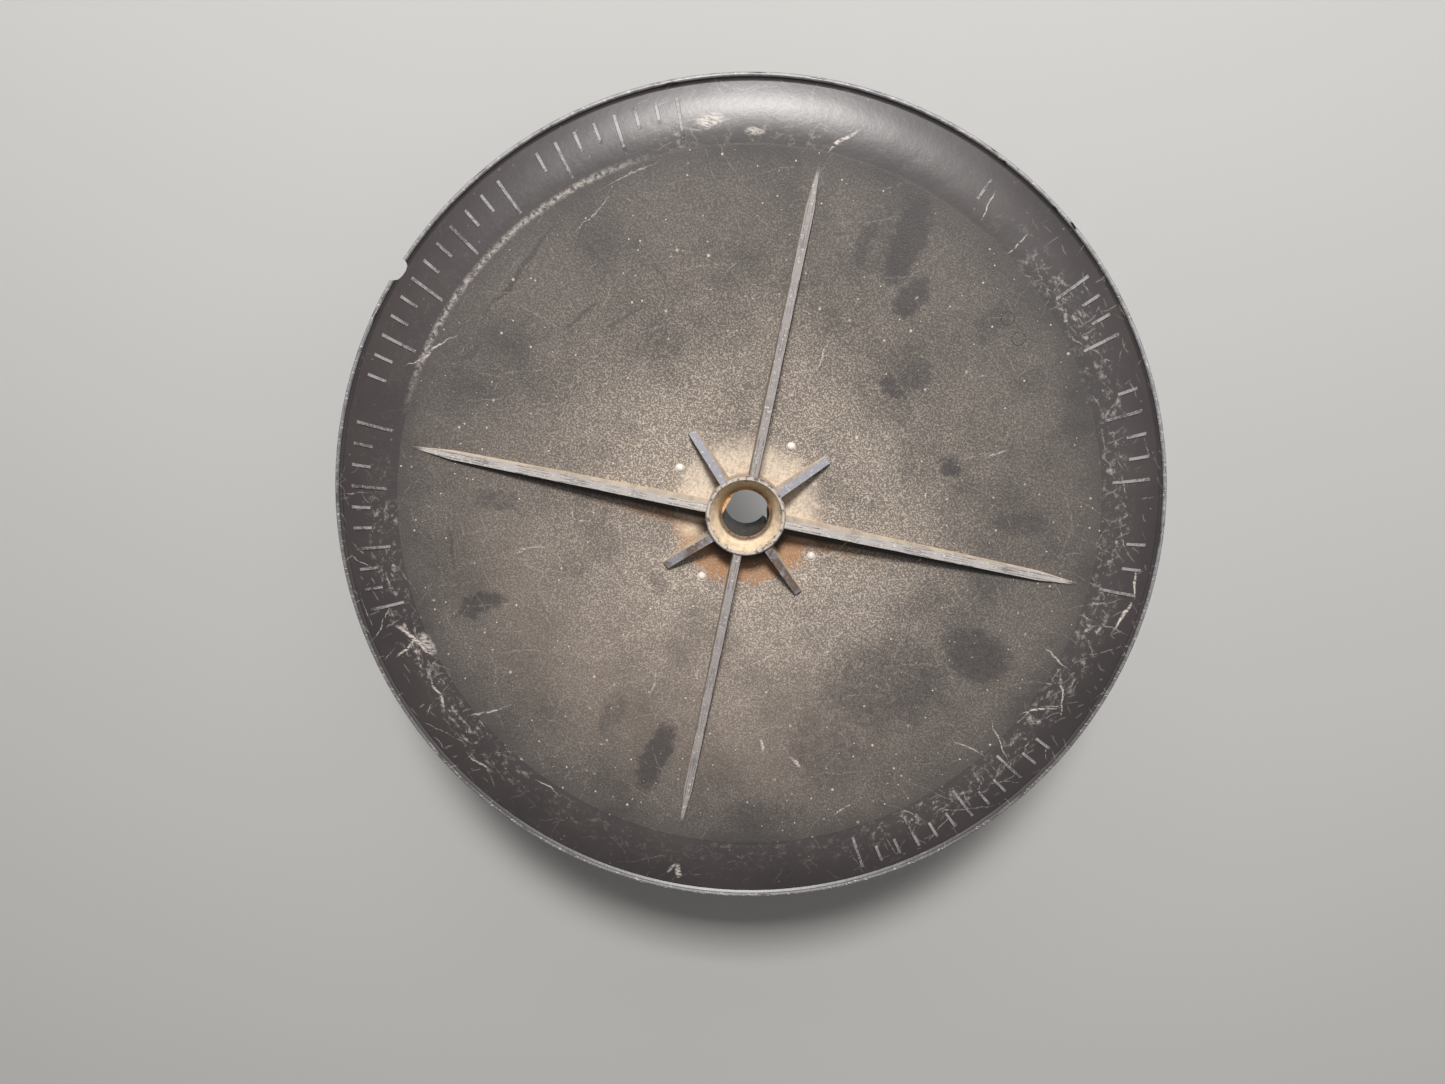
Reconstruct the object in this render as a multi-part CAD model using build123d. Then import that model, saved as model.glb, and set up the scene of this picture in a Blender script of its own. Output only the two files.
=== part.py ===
from build123d import *

import math
import os

os.makedirs("parts", exist_ok=True)

# Single-inlet, forward-curved blower wheel, standing on its open inlet ring with the closed back plate on top.
# Millimetres. The origin is the centre of the inlet face, +Z runs along the shaft axis towards the back plate,
# and the long ribs lie along X and Y.

# Driving dimensions: an 8.76 in by 2.87 in wheel for a 1/2 in shaft
WHEEL_DIAMETER = 222.5
WHEEL_WIDTH = 72.9
SHAFT_DIAMETER = 12.7
BLADE_COUNT = 44

RADIUS = WHEEL_DIAMETER / 2
WALL = 2.2

# Back plate: a shallow cone that sinks towards the hub, with a rounded band outside it
CONE_EDGE_R = 0.845 * RADIUS
CONE_EDGE_Z = WHEEL_WIDTH - 1.0
CONE_SLOPE = math.tan(math.radians(5.3))
STEP = 0.08
BAND_ARC_R = 34.0
BAND_CREST_R = CONE_EDGE_R + 4.5
BAND_END_R = RADIUS - 2.05
LIP_THICKNESS = 1.1
LIP_TOP_Z = WHEEL_WIDTH - 1.9
GROOVE_Z = WHEEL_WIDTH - 2.9
SKIRT_THICKNESS = 1.5
SKIRT_BOTTOM_Z = WHEEL_WIDTH - 6.1

# Ribs and gate nubs on the back plate
RIB_TOP_Z = WHEEL_WIDTH - 0.6
RIB_ROOT_DEPTH = 1.0
LONG_RIB_TIP_R = 0.817 * RADIUS
LONG_RIB_WIDTH = 2.2
LONG_RIB_TIP_WIDTH = 0.4
RIB_POINT_LENGTH = 11.0
SHORT_RIB_TIP_R = 0.2375 * RADIUS
SHORT_RIB_WIDTH = 2.1
SHORT_RIB_TIP_HEIGHT = 1.2
RIB_DRAFT = 0.45
NUB_RADIUS = 1.15
NUB_CIRCLE_R = 0.195 * RADIUS
NUB_ANGLE = 67.5

# Chip broken out of the rim
CHIP_ANGLE = 156.3
CHIP_LENGTH = 6.2
CHIP_DEPTH = 2.2

# Hub sleeve
HUB_RADIUS = 10.7
HUB_LENGTH = 30.0
HUB_BOTTOM_Z = WHEEL_WIDTH - HUB_LENGTH
HUB_LIP = 0.9
FUNNEL_DEPTH = 4.7
FUNNEL_R = 7.4
BORE_RADIUS = SHAFT_DIAMETER / 2 + 0.05
BORE_TOP_Z = WHEEL_WIDTH - 6.0
FLAT_DISTANCE = 5.5
FLAT_ANGLE = 162.0
SLIT_ANGLE = FLAT_ANGLE - 180
SLIT_WIDTH = 2.1
EDGE_BREAK = 0.4

# Inlet ring
RING_THICKNESS = 2.2
RING_INNER_R = CONE_EDGE_R - 0.6
RING_WALL = 1.35
RING_HEIGHT = 9.0
RING_BEAD = 1.4

# Blades: circular arcs that leave the inlet almost radially and lean forward, clockwise seen from the back plate
BLADE_THICKNESS = 1.5
BLADE_INNER_R = CONE_EDGE_R + 1.4
BLADE_OUTER_R = RADIUS - SKIRT_THICKNESS - 0.9
BLADE_ARC_R = 12.5
BLADE_LEAD_ANGLE = -6.0
BLADE_PITCH = 360 / BLADE_COUNT

# Hub clamp: a strap with two ears, drawn together by a screw and a square nut
BAND_THICKNESS = 0.8
BAND_BOTTOM_Z = HUB_BOTTOM_Z + 1.0
BAND_HEIGHT = 7.6
EAR_GAP = 3.2
EAR_THICKNESS = 1.0
EAR_TIP_R = 20.4
SCREW_R = 2.0
SCREW_CENTRE_R = 15.9
SCREW_CLEARANCE = 0.05
EAR_HOLE_R = 2.3
HEAD_R = 3.5
HEAD_HEIGHT = 2.8
HEAD_SLOT_WIDTH = 1.0
HEAD_SLOT_DEPTH = 1.2
NUT_SIDE = 7.0
NUT_THICKNESS = 3.2
SCREW_END_SPARE = 3.4

HUB_TOP_Z = WHEEL_WIDTH
BAND_ARC_Z = CONE_EDGE_Z - STEP - math.sqrt(BAND_ARC_R**2 - (BAND_CREST_R - CONE_EDGE_R - STEP) ** 2)


def cone_z(radius):
    """Height of the conical top face at a radius."""
    return CONE_EDGE_Z - (CONE_EDGE_R - radius) * CONE_SLOPE


def band_z(radius, arc_radius):
    """Height of the rounded band, or of its underside, at a radius."""
    return BAND_ARC_Z + math.sqrt(arc_radius**2 - (radius - BAND_CREST_R) ** 2)


def band_arc(start_r, end_r, arc_radius):
    """Arc of the band's section from one radius to another."""
    middle_r = (start_r + end_r) / 2
    return ThreePointArc(
        (start_r, band_z(start_r, arc_radius)),
        (middle_r, band_z(middle_r, arc_radius)),
        (end_r, band_z(end_r, arc_radius)),
    )


def spun(outline):
    """Solid of revolution about Z from a closed outline of (radius, height) edges."""
    return revolve(Plane.XZ * make_face(outline), Axis.Z)


def turned(shape, angle):
    """Shape turned about the wheel axis."""
    return Rot(0, 0, angle) * shape


def underside():
    """Edges of the back plate's underside, from the hub out to the skirt."""
    inner = WALL / 2
    under_edge = (CONE_EDGE_R + inner, band_z(CONE_EDGE_R + inner, BAND_ARC_R - WALL))
    skirt_r = RADIUS - SKIRT_THICKNESS
    return [
        Line((HUB_RADIUS, cone_z(HUB_RADIUS) - WALL), under_edge),
        band_arc(under_edge[0], skirt_r, BAND_ARC_R - WALL),
    ]


def plate_disc():
    """Dished disc with its step, rounded band, rim lip and skirt."""
    band_start_r = CONE_EDGE_R + STEP
    lip_inner_r = RADIUS - LIP_THICKNESS
    skirt_r = RADIUS - SKIRT_THICKNESS
    top = [
        Polyline(
            (HUB_RADIUS, cone_z(HUB_RADIUS) - WALL),
            (HUB_RADIUS, cone_z(HUB_RADIUS)),
            (CONE_EDGE_R, CONE_EDGE_Z),
            (band_start_r, CONE_EDGE_Z - STEP),
        ),
        band_arc(band_start_r, BAND_END_R, BAND_ARC_R),
        Polyline(
            (BAND_END_R, band_z(BAND_END_R, BAND_ARC_R)),
            (BAND_END_R + EDGE_BREAK, GROOVE_Z),
            (lip_inner_r, GROOVE_Z + EDGE_BREAK),
            (lip_inner_r, LIP_TOP_Z - EDGE_BREAK),
            (lip_inner_r + EDGE_BREAK, LIP_TOP_Z),
            (RADIUS - EDGE_BREAK, LIP_TOP_Z),
            (RADIUS, LIP_TOP_Z - EDGE_BREAK),
            (RADIUS, SKIRT_BOTTOM_Z),
            (skirt_r, SKIRT_BOTTOM_Z),
            (skirt_r, band_z(skirt_r, BAND_ARC_R - WALL)),
        ),
    ]
    return spun(Curve() + top + underside())


def rib_section(radius, bottom_z, top_z, width):
    """Drafted rib section across X at a radius."""
    low, high = width / 2 + RIB_DRAFT, width / 2
    outline = Polyline((-low, bottom_z), (low, bottom_z), (high, top_z), (-high, top_z), close=True)
    return Plane(origin=(radius, 0, 0), x_dir=(0, 1, 0), z_dir=(1, 0, 0)) * make_face(outline)


def rib(tip_r, point_length, width, tip_width, tip_height):
    """Rib along +X, of one width up to the point it narrows to; the hub's seat trims its inner end."""
    start_r = HUB_RADIUS - 1.0
    tip_top_z = cone_z(tip_r) + tip_height
    fall = (RIB_TOP_Z - tip_top_z) / (tip_r - start_r)
    sections = []
    for radius, section_width in ((start_r, width), (tip_r - point_length, width), (tip_r, tip_width)):
        top_z = tip_top_z + (tip_r - radius) * fall
        sections.append(rib_section(radius, cone_z(radius) - RIB_ROOT_DEPTH, top_z, section_width))
    return loft(sections, ruled=True)


def chip():
    """Ragged bite taken out of the rim at +X, before it is turned into place."""
    half = CHIP_LENGTH / 2
    inner = RADIUS - CHIP_DEPTH
    outline = Polyline(
        (RADIUS + 2, -half - 0.5),
        (RADIUS - 1.0, -half),
        (inner + 0.5, -half + 0.8),
        (inner, -half + 1.9),
        (inner + 0.1, half - 2.6),
        (inner + 0.7, half - 1.0),
        (RADIUS - 0.6, half),
        (RADIUS + 2, half + 0.9),
        close=True,
    )
    return Pos(0, 0, SKIRT_BOTTOM_Z - 2) * extrude(make_face(outline), 12)


def back_plate():
    """Disc with long ribs, short ribs and gate nubs, less the rim chip."""
    plate = plate_disc()
    for quarter in range(4):
        long = rib(LONG_RIB_TIP_R, RIB_POINT_LENGTH, LONG_RIB_WIDTH, LONG_RIB_TIP_WIDTH, 0.05)
        plate += turned(long, 90 * quarter)
        short = rib(SHORT_RIB_TIP_R, 2.0, SHORT_RIB_WIDTH, SHORT_RIB_WIDTH, SHORT_RIB_TIP_HEIGHT)
        plate += turned(short, 45 + 90 * quarter)
        nub = Pos(NUB_CIRCLE_R, 0, cone_z(NUB_CIRCLE_R) - NUB_RADIUS / 3) * Sphere(NUB_RADIUS)
        plate += turned(nub, NUB_ANGLE + 90 * quarter)
    plate -= turned(chip(), CHIP_ANGLE)
    return plate - Pos(0, 0, WHEEL_WIDTH) * Cylinder(HUB_RADIUS, 2 * WHEEL_WIDTH)


def hub():
    """Sleeve with a funnel mouth, a D-shaped bore and a slit inner end."""
    sleeve = spun(
        Polyline(
            (HUB_RADIUS, HUB_BOTTOM_Z),
            (HUB_RADIUS, HUB_TOP_Z - EDGE_BREAK),
            (HUB_RADIUS - EDGE_BREAK, HUB_TOP_Z),
            (HUB_RADIUS - HUB_LIP, HUB_TOP_Z),
            (FUNNEL_R, HUB_TOP_Z - FUNNEL_DEPTH),
            (BORE_RADIUS, BORE_TOP_Z),
            (BORE_RADIUS, HUB_BOTTOM_Z),
            close=True,
        )
    )
    land_height = BORE_TOP_Z - HUB_BOTTOM_Z
    land_middle = (BORE_TOP_Z + HUB_BOTTOM_Z) / 2
    land = Pos(0, 0, land_middle) * Cylinder(BORE_RADIUS + 0.5, land_height)
    land &= Pos(FLAT_DISTANCE + 5, 0, land_middle) * Box(10, 20, land_height)
    slit_height = cone_z(HUB_RADIUS) - WALL - HUB_BOTTOM_Z
    slit = Pos(HUB_RADIUS, 0, HUB_BOTTOM_Z + slit_height / 2) * Box(HUB_RADIUS, SLIT_WIDTH, slit_height)
    return sleeve + turned(land, FLAT_ANGLE) - turned(slit, SLIT_ANGLE)


def inlet_ring():
    """Flat annulus that the blades stand on, with a wall outside and a bead round the inlet."""
    wall_r = RADIUS - RING_WALL
    return spun(
        Polyline(
            (RING_INNER_R + EDGE_BREAK, 0),
            (RADIUS - EDGE_BREAK, 0),
            (RADIUS, EDGE_BREAK),
            (RADIUS, RING_HEIGHT),
            (wall_r, RING_HEIGHT),
            (wall_r, RING_THICKNESS),
            (RING_INNER_R + RING_BEAD, RING_THICKNESS),
            (RING_INNER_R + RING_BEAD / 2, RING_THICKNESS + RING_BEAD / 2),
            (RING_INNER_R, RING_THICKNESS),
            (RING_INNER_R, EDGE_BREAK),
            close=True,
        )
    )


def blade_centre_line():
    """Arc of a blade in plan, from the inner edge on +X out to the forward-leaning tip."""
    lead = math.radians(BLADE_LEAD_ANGLE)
    start_r = BLADE_INNER_R + BLADE_THICKNESS / 2
    centre = (start_r - BLADE_ARC_R * math.sin(lead), -BLADE_ARC_R * math.cos(lead))

    def at(angle):
        return (centre[0] + BLADE_ARC_R * math.sin(angle), centre[1] + BLADE_ARC_R * math.cos(angle))

    tip = lead
    while math.hypot(*at(tip)) < BLADE_OUTER_R - BLADE_THICKNESS / 2:
        tip += math.radians(0.25)
    return ThreePointArc(at(lead), at((lead + tip) / 2), at(tip))


def blade():
    """One blade, standing on the inlet ring and trimmed to the back plate's underside."""
    plan = make_face(SlotArc(blade_centre_line(), BLADE_THICKNESS).edges())
    tall = Pos(0, 0, RING_THICKNESS) * extrude(plan, WHEEL_WIDTH)
    inner_z = cone_z(HUB_RADIUS) - WALL
    skirt_r = RADIUS - SKIRT_THICKNESS
    above = Polyline(
        (skirt_r, band_z(skirt_r, BAND_ARC_R - WALL)),
        (RADIUS, SKIRT_BOTTOM_Z),
        (RADIUS, 2 * WHEEL_WIDTH),
        (HUB_RADIUS, 2 * WHEEL_WIDTH),
        (HUB_RADIUS, inner_z),
    )
    return tall - spun(Curve() + underside() + [above])


def clamp_band():
    """Strap round the slit end of the hub, with an ear each side of its gap."""
    middle_z = BAND_BOTTOM_Z + BAND_HEIGHT / 2
    strap = Cylinder(HUB_RADIUS + BAND_THICKNESS, BAND_HEIGHT) - Cylinder(HUB_RADIUS, BAND_HEIGHT)
    strap -= Pos(HUB_RADIUS, 0, 0) * Box(HUB_RADIUS, EAR_GAP, BAND_HEIGHT)
    ear_start_r = HUB_RADIUS + BAND_THICKNESS / 4
    ear = Pos((ear_start_r + EAR_TIP_R) / 2, 0, 0) * Box(EAR_TIP_R - ear_start_r, EAR_THICKNESS, BAND_HEIGHT)
    ear = fillet(ear.edges().filter_by(Axis.Y).group_by(Axis.X)[-1], 2.0)
    ear -= Pos(SCREW_CENTRE_R, 0, 0) * Rot(90, 0, 0) * Cylinder(EAR_HOLE_R, 2 * EAR_THICKNESS)
    offset = (EAR_GAP + EAR_THICKNESS) / 2
    strap += Pos(0, offset, 0) * ear
    strap += Pos(0, -offset, 0) * ear
    return turned(Pos(0, 0, middle_z) * strap, SLIT_ANGLE)


def on_screw_axis(shape):
    """Shape drawn about Z, laid along the screw's axis beside the hub."""
    middle_z = BAND_BOTTOM_Z + BAND_HEIGHT / 2
    return turned(Pos(SCREW_CENTRE_R, 0, middle_z) * Rot(-90, 0, 0) * shape, SLIT_ANGLE)


def clamp_screw():
    """Slotted hexagon-head screw through both ears."""
    ear_face = EAR_GAP / 2 + EAR_THICKNESS + SCREW_CLEARANCE
    shank_length = 2 * ear_face + NUT_THICKNESS + SCREW_END_SPARE
    head = extrude(RegularPolygon(HEAD_R, 6), HEAD_HEIGHT)
    head &= Pos(0, 0, HEAD_HEIGHT / 2) * Cylinder(HEAD_R - 0.25, HEAD_HEIGHT)
    head -= Pos(0, 0, HEAD_HEIGHT) * Box(4 * HEAD_R, HEAD_SLOT_WIDTH, 2 * HEAD_SLOT_DEPTH)
    shank = Pos(0, 0, -shank_length / 2) * Cylinder(SCREW_R - SCREW_CLEARANCE, shank_length)
    shank = chamfer(shank.edges().filter_by(GeomType.CIRCLE).sort_by(Axis.Z)[0], EDGE_BREAK)
    return on_screw_axis(Pos(0, 0, ear_face) * (head + shank))


def clamp_nut():
    """Square nut that the screw draws along."""
    ear_face = EAR_GAP / 2 + EAR_THICKNESS + SCREW_CLEARANCE
    nut = Box(NUT_SIDE, NUT_SIDE, NUT_THICKNESS)
    nut = chamfer(nut.edges().filter_by(Axis.Z), EDGE_BREAK)
    nut -= Cylinder(SCREW_R, NUT_THICKNESS)
    return on_screw_axis(Pos(0, 0, -ear_face - NUT_THICKNESS / 2) * nut)


pieces = {
    "back_plate": back_plate(),
    "hub": hub(),
    "inlet_ring": inlet_ring(),
    "clamp_band": clamp_band(),
    "clamp_screw": clamp_screw(),
    "clamp_nut": clamp_nut(),
}
one_blade = blade()
for number in range(BLADE_COUNT):
    pieces[f"blade_{number + 1:02d}"] = turned(one_blade, BLADE_PITCH * (number + 0.5))

for node, piece in pieces.items():
    export_step(piece, f"parts/{node}.step")
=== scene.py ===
import math
import random

import bpy
from mathutils import Matrix, Vector


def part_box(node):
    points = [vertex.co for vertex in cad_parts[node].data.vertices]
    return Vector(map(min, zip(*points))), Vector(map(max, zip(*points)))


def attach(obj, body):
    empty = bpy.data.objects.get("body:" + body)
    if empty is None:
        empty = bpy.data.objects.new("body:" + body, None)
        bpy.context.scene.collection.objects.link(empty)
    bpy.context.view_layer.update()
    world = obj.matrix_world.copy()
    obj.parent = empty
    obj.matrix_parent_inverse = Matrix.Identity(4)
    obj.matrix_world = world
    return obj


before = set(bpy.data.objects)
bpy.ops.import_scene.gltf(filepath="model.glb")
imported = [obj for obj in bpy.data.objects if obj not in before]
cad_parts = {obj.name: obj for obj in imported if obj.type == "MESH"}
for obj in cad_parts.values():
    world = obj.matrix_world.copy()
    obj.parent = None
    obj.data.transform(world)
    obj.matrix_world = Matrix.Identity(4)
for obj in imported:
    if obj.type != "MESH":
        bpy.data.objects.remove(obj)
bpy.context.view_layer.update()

# The used blower wheel, back plate up: worn black plastic with dust, smudges and scratches.
# Materials and moulded details work in millimetres of the part's frame; the stage, the lights
# and the camera are in metres.

MM = 0.001
RADIUS_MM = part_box("back_plate")[1][0] / MM
TOP_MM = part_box("hub")[1][2] / MM

# The plate's profile and details, as the CAD has them
CONE_EDGE_R = 0.845 * RADIUS_MM
CONE_EDGE_Z = TOP_MM - 1.0
CONE_SLOPE = math.tan(math.radians(5.3))
BAND_ARC_R = 34.0
BAND_CREST_R = CONE_EDGE_R + 4.5
STEP = 0.08
BAND_ARC_Z = CONE_EDGE_Z - STEP - math.sqrt(BAND_ARC_R**2 - (BAND_CREST_R - CONE_EDGE_R - STEP) ** 2)
LIP_TOP_Z = TOP_MM - 1.9
CHIP_ANGLE = 156.3
NUB_ANGLE = 67.5
NUB_CIRCLE_R = 21.7
HUB_R = 10.7
FUNNEL_FOOT_Z = TOP_MM - 4.9


def band_z(radius):
    """Height in mm of the rounded band's face at a radius."""
    return BAND_ARC_Z + math.sqrt(BAND_ARC_R**2 - (radius - BAND_CREST_R) ** 2)


def cone_z(radius):
    """Height in mm of the dished face at a radius."""
    return CONE_EDGE_Z - (CONE_EDGE_R - radius) * CONE_SLOPE


def tone(red, green, blue):
    """Linear colour from display values of 11 to 255."""
    linear = [((value / 255 + 0.055) / 1.055) ** 2.4 for value in (red, green, blue)]
    return (*linear, 1.0)


# ---------------------------------------------------------------- node building


class Graph:
    """Builds one node tree with short calls. Any argument is a number, a tuple or another node's output."""

    def __init__(self, tree):
        self.tree = tree

    def node(self, kind, inputs=(), **settings):
        made = self.tree.nodes.new(kind)
        for name, value in settings.items():
            setattr(made, name, value)
        for slot, value in dict(inputs).items():
            if isinstance(value, bpy.types.NodeSocket):
                self.tree.links.new(value, made.inputs[slot])
            else:
                made.inputs[slot].default_value = value
        return made

    def math(self, operation, *values):
        return self.node("ShaderNodeMath", enumerate(values), operation=operation).outputs[0]

    def add(self, *values):
        total = values[0]
        for value in values[1:]:
            total = self.math("ADD", total, value)
        return total

    def mul(self, *values):
        total = values[0]
        for value in values[1:]:
            total = self.math("MULTIPLY", total, value)
        return total

    def invert(self, value):
        return self.math("SUBTRACT", 1.0, value)

    def vector(self, operation, *values):
        made = self.node("ShaderNodeVectorMath", operation=operation)
        for slot, value in enumerate(values):
            name = "Scale" if operation == "SCALE" and slot == 1 else slot
            if isinstance(value, bpy.types.NodeSocket):
                self.tree.links.new(value, made.inputs[name])
            else:
                made.inputs[name].default_value = value
        return made.outputs["Value" if operation in ("LENGTH", "DOT_PRODUCT") else "Vector"]

    def step(self, value, low, high, start=0.0, end=1.0):
        """Smooth step: start at low, end at high; low may be above high."""
        if not isinstance(low, bpy.types.NodeSocket) and low > high:
            low, high, start, end = high, low, end, start
        inputs = {"Value": value, "From Min": low, "From Max": high, "To Min": start, "To Max": end}
        return self.node("ShaderNodeMapRange", inputs, interpolation_type="SMOOTHSTEP").outputs[0]

    def window(self, value, low, high, soft):
        """One between low and high, falling to nothing over soft."""
        return self.mul(self.step(value, low - soft, low + soft), self.step(value, high + soft, high - soft))

    def noise(self, vector, scale, detail=3.0, rough=0.55, colour=False):
        inputs = {"Vector": vector, "Scale": scale, "Detail": detail, "Roughness": rough}
        return self.node("ShaderNodeTexNoise", inputs).outputs[1 if colour else 0]

    def voronoi(self, vector, scale, flat=False):
        made = self.node("ShaderNodeTexVoronoi", {"Scale": scale}, voronoi_dimensions="2D" if flat else "3D")
        self.tree.links.new(vector, made.inputs["Vector"])
        return made.outputs["Distance"], made.outputs["Color"]

    def mix(self, amount, low, high):
        made = self.node("ShaderNodeMix", data_type="RGBA")
        for slot, value in ((0, amount), (6, low), (7, high)):
            if isinstance(value, bpy.types.NodeSocket):
                self.tree.links.new(value, made.inputs[slot])
            else:
                made.inputs[slot].default_value = value
        return made.outputs[2]

    def split(self, vector):
        made = self.node("ShaderNodeSeparateXYZ", {0: vector})
        return made.outputs[0], made.outputs[1], made.outputs[2]

    def channels(self, colour):
        made = self.node("ShaderNodeSeparateColor", {0: colour})
        return made.outputs[0], made.outputs[1], made.outputs[2]

    def shake(self, vector, scale, detail, reach):
        """Wandering offset in the plane, up to about reach."""
        red, green, _ = self.channels(self.noise(vector, scale, detail, 0.6, colour=True))
        sideways = self.math("MULTIPLY_ADD", red, reach, -reach / 2)
        endways = self.math("MULTIPLY_ADD", green, reach, -reach / 2)
        return self.join(sideways, endways, 0.0)

    def join(self, x, y, z):
        return self.node("ShaderNodeCombineXYZ", {0: x, 1: y, 2: z}).outputs[0]

    def group(self, tree, inputs):
        made = self.tree.nodes.new("ShaderNodeGroup")
        made.node_tree = tree
        for slot, value in inputs.items():
            if isinstance(value, bpy.types.NodeSocket):
                self.tree.links.new(value, made.inputs[slot])
            else:
                made.inputs[slot].default_value = value
        return made.outputs[0]

    def facing(self):
        """The surface's own direction, in the part's frame."""
        return self.split(self.node("ShaderNodeTexCoord").outputs["Normal"])


class Surface:
    """A shaded point of the part: where it lies in millimetres, where it faces, and its colour so far."""

    def __init__(self, graph):
        self.graph = graph
        self.colour = None
        position = graph.node("ShaderNodeTexCoord").outputs["Object"]
        self.spot = graph.vector("SCALE", position, 1000.0)
        self.x, self.y, self.z = graph.split(self.spot)
        self.flat = graph.join(self.x, self.y, 0.0)
        self.radius = graph.vector("LENGTH", self.flat)
        self.azimuth = graph.mul(graph.math("ARCTAN2", self.y, self.x), 180 / math.pi)

    def face(self):
        """Looks up the surface's own direction."""
        self.nx, self.ny, self.nz = self.graph.facing()

    def base(self, share, dark, light):
        """Starts the colour between two tones."""
        self.colour = self.graph.mix(share, dark, light)

    def paint(self, amount, colour):
        """Lays a colour over what is there."""
        self.colour = self.graph.mix(amount, self.colour, colour)


def new_group(name, inputs):
    """Node group with one value output. inputs is {name: socket type}."""
    tree = bpy.data.node_groups.new(name, "ShaderNodeTree")
    for slot, kind in inputs.items():
        tree.interface.new_socket(slot, in_out="INPUT", socket_type=kind)
    tree.interface.new_socket("Mask", in_out="OUTPUT", socket_type="NodeSocketFloat")
    graph = Graph(tree)
    start = tree.nodes.new("NodeGroupInput")
    end = tree.nodes.new("NodeGroupOutput")
    return tree, graph, start, end


def mark_group():
    """An ellipse with soft edges: a smudge when wide, a tapering scratch when thin."""
    kinds = {"Vector": "NodeSocketVector", "Along": "NodeSocketVector", "Across": "NodeSocketVector"}
    kinds |= {"Along start": "NodeSocketFloat", "Across start": "NodeSocketFloat"}
    kinds |= {"Core": "NodeSocketFloat", "Strength": "NodeSocketFloat"}
    tree, g, start, end = new_group("mark", kinds)
    o = start.outputs
    along = g.math("SUBTRACT", g.vector("DOT_PRODUCT", o["Vector"], o["Along"]), o["Along start"])
    across = g.math("SUBTRACT", g.vector("DOT_PRODUCT", o["Vector"], o["Across"]), o["Across start"])
    off = g.math("MULTIPLY_ADD", along, along, g.mul(across, across))
    mask = g.step(off, o["Core"], 1.0, 1.0, 0.0)
    tree.links.new(g.mul(mask, o["Strength"]), end.inputs[0])
    return tree


def scratches_group():
    """A field of short straight scratches, one at most in each cell of a turned grid."""
    kinds = {"Vector": "NodeSocketVector", "Along": "NodeSocketVector", "Across": "NodeSocketVector"}
    kinds |= {"Gap": "NodeSocketFloat", "Width": "NodeSocketFloat", "Share": "NodeSocketFloat"}
    tree, g, start, end = new_group("scratches", kinds)
    o = start.outputs
    across = g.vector("DOT_PRODUCT", o["Vector"], o["Across"])
    row = g.math("FLOOR", across)
    shift = g.mul(g.node("ShaderNodeTexWhiteNoise", {"W": row}, noise_dimensions="1D").outputs[0], 7.3)
    along = g.add(g.vector("DOT_PRODUCT", o["Vector"], o["Along"]), shift)
    cell = g.math("FLOOR", along)
    place = g.math("MULTIPLY_ADD", row, 57.31, cell)
    dice = g.node("ShaderNodeTexWhiteNoise", {"W": place}, noise_dimensions="1D")
    red, green, blue = g.channels(dice.outputs[1])
    from_middle = g.math("SUBTRACT", g.math("SUBTRACT", along, cell), 0.5)
    slope = g.mul(g.math("SUBTRACT", green, 0.5), from_middle, 0.6)
    line = g.add(g.mul(red, 0.5), slope, 0.25)
    off = g.mul(g.math("ABSOLUTE", g.math("SUBTRACT", g.math("SUBTRACT", across, row), line)), o["Gap"])
    thin = g.step(off, o["Width"], g.mul(o["Width"], 1.9), 1.0, 0.0)
    reach = g.math("DIVIDE", g.math("ABSOLUTE", from_middle), g.add(g.mul(blue, 0.33), 0.12))
    kept = g.math("LESS_THAN", dice.outputs[0], o["Share"])
    tree.links.new(g.mul(thin, g.step(reach, 1.0, 0.5), kept), end.inputs[0])
    return tree


MARK = mark_group()
SCRATCHES = scratches_group()


def finish_material(graph, colour, roughness, bump, bump_depth, metallic=0.0, specular=0.5):
    """Principled surface from a colour, a roughness and a height in mm."""
    inputs = {"Base Color": colour, "Roughness": roughness, "Metallic": metallic}
    inputs["Specular IOR Level"] = specular
    shader = graph.node("ShaderNodeBsdfPrincipled", inputs)
    relief = graph.node("ShaderNodeBump", {"Height": bump, "Distance": bump_depth * MM, "Strength": 1.0})
    graph.tree.links.new(relief.outputs[0], shader.inputs["Normal"])
    output = graph.tree.nodes.new("ShaderNodeOutputMaterial")
    graph.tree.links.new(shader.outputs[0], output.inputs[0])


def new_material(name):
    material = bpy.data.materials.new(name)
    material.use_nodes = True
    material.node_tree.nodes.clear()
    return material, Graph(material.node_tree)


def strongest(graph, values):
    total = values[0]
    for value in values[1:]:
        total = graph.math("MAXIMUM", total, value)
    return total


# ---------------------------------------------------------------- marks on the back plate

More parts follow.
